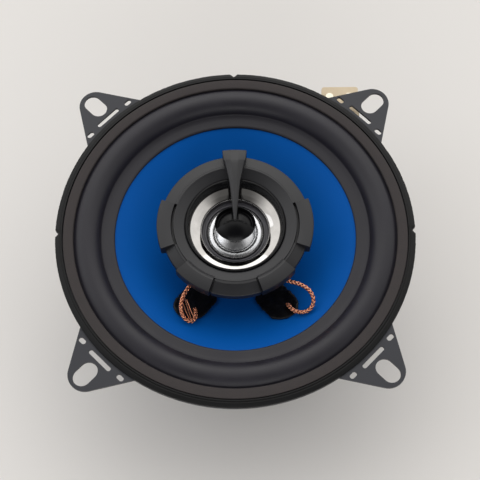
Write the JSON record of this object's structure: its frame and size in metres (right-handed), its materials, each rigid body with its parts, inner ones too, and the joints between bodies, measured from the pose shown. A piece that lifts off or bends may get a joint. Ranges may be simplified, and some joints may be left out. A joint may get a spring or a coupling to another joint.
{
  "type": "coaxial car speaker",
  "caption": "Round two-way car speaker: stamped basket with slotted ears, rubber-edged blue cone and a chromed dome tweeter on a centre post.",
  "frame": {"origin": "centre of the magnet assembly's back, where the speaker stands", "axes": "+Z out of the front along the cone's axis; the four ears lie on +X, +Y, -X and -Y; the tweeter's bridge points half way between +Y and -X"},
  "size_m": [0.1256, 0.1256, 0.0547],
  "materials": {
    "zinc_steel": "satin zinc plate",
    "ferrite": "matte ground ferrite",
    "neodymium": "nickel plate",
    "black_steel": "satin black enamel",
    "rivet_metal": "satin",
    "gasket_foam": "matte",
    "rim_rubber": "satin moulded",
    "surround_rubber": "satin",
    "spider_cloth": "resin-stiffened weave",
    "cone_blue": "satin moulded",
    "black_glue": "glossy glue",
    "coil_foil": "satin",
    "copper_wire": "enamelled",
    "black_plastic": "satin moulded",
    "bright_chrome": "vacuum plated",
    "grey_plastic": "moulded",
    "bright_foil": "aluminised film",
    "screw_steel": "zinc plate",
    "fibre_board": "pressed phenolic paper",
    "tinned_brass": "tin plate",
    "capacitor_sleeve": "shrunk sleeve",
    "copper_braid": "braided",
    "tinsel_lead": "braided"
  },
  "bodies": {
    "frame": {"yoke": "zinc_steel", "top_plate": "zinc_steel", "tweeter_yoke": "zinc_steel", "tweeter_pole_plate": "zinc_steel", "ring_magnet": "ferrite", "tweeter_magnet": "neodymium", "basket": "black_steel", "basket_rivets": "rivet_metal", "board_rivet": "rivet_metal", "gasket_ring": "gasket_foam", "rim_trim": "rim_rubber", "tweeter_post": "black_plastic", "tweeter_housing": "black_plastic", "tweeter_lip": "black_plastic", "tweeter_bridge": "black_plastic", "tweeter_reflector": "bright_chrome", "tweeter_mount_ring": "grey_plastic", "post_screw": "screw_steel", "terminal_board": "fibre_board", "terminal_tab_positive": "tinned_brass", "terminal_tab_negative": "tinned_brass", "crossover_capacitor": "capacitor_sleeve", "capacitor_glue": "black_glue"},
    "cone": {"cone": "cone_blue", "cone_glue": "black_glue", "voice_coil_former": "coil_foil", "voice_coil_winding": "copper_wire", "surround": "surround_rubber", "spider": "spider_cloth", "tweeter_lead_left": "copper_braid", "tweeter_lead_right": "copper_braid", "rear_lead_positive": "tinsel_lead", "rear_lead_negative": "tinsel_lead"},
    "tweeter_dome": {"tweeter_diaphragm": "bright_foil", "tweeter_voice_coil": "copper_wire"}
  },
  "joints": [
    {"name": "cone_travel", "type": "slide", "parent": "frame", "child": "cone", "axis": [0, 0, 1], "range_m": [-0.003, 0.003], "stiffness_N_per_m": 2400, "deforming": ["surround", "spider", "tweeter_lead_left", "tweeter_lead_right", "rear_lead_positive", "rear_lead_negative"]},
    {"name": "tweeter_travel", "type": "slide", "parent": "frame", "child": "tweeter_dome", "axis": [0, 0, 1], "range_m": [-0.0003, 0.0003], "stiffness_N_per_m": 3000}
  ]
}
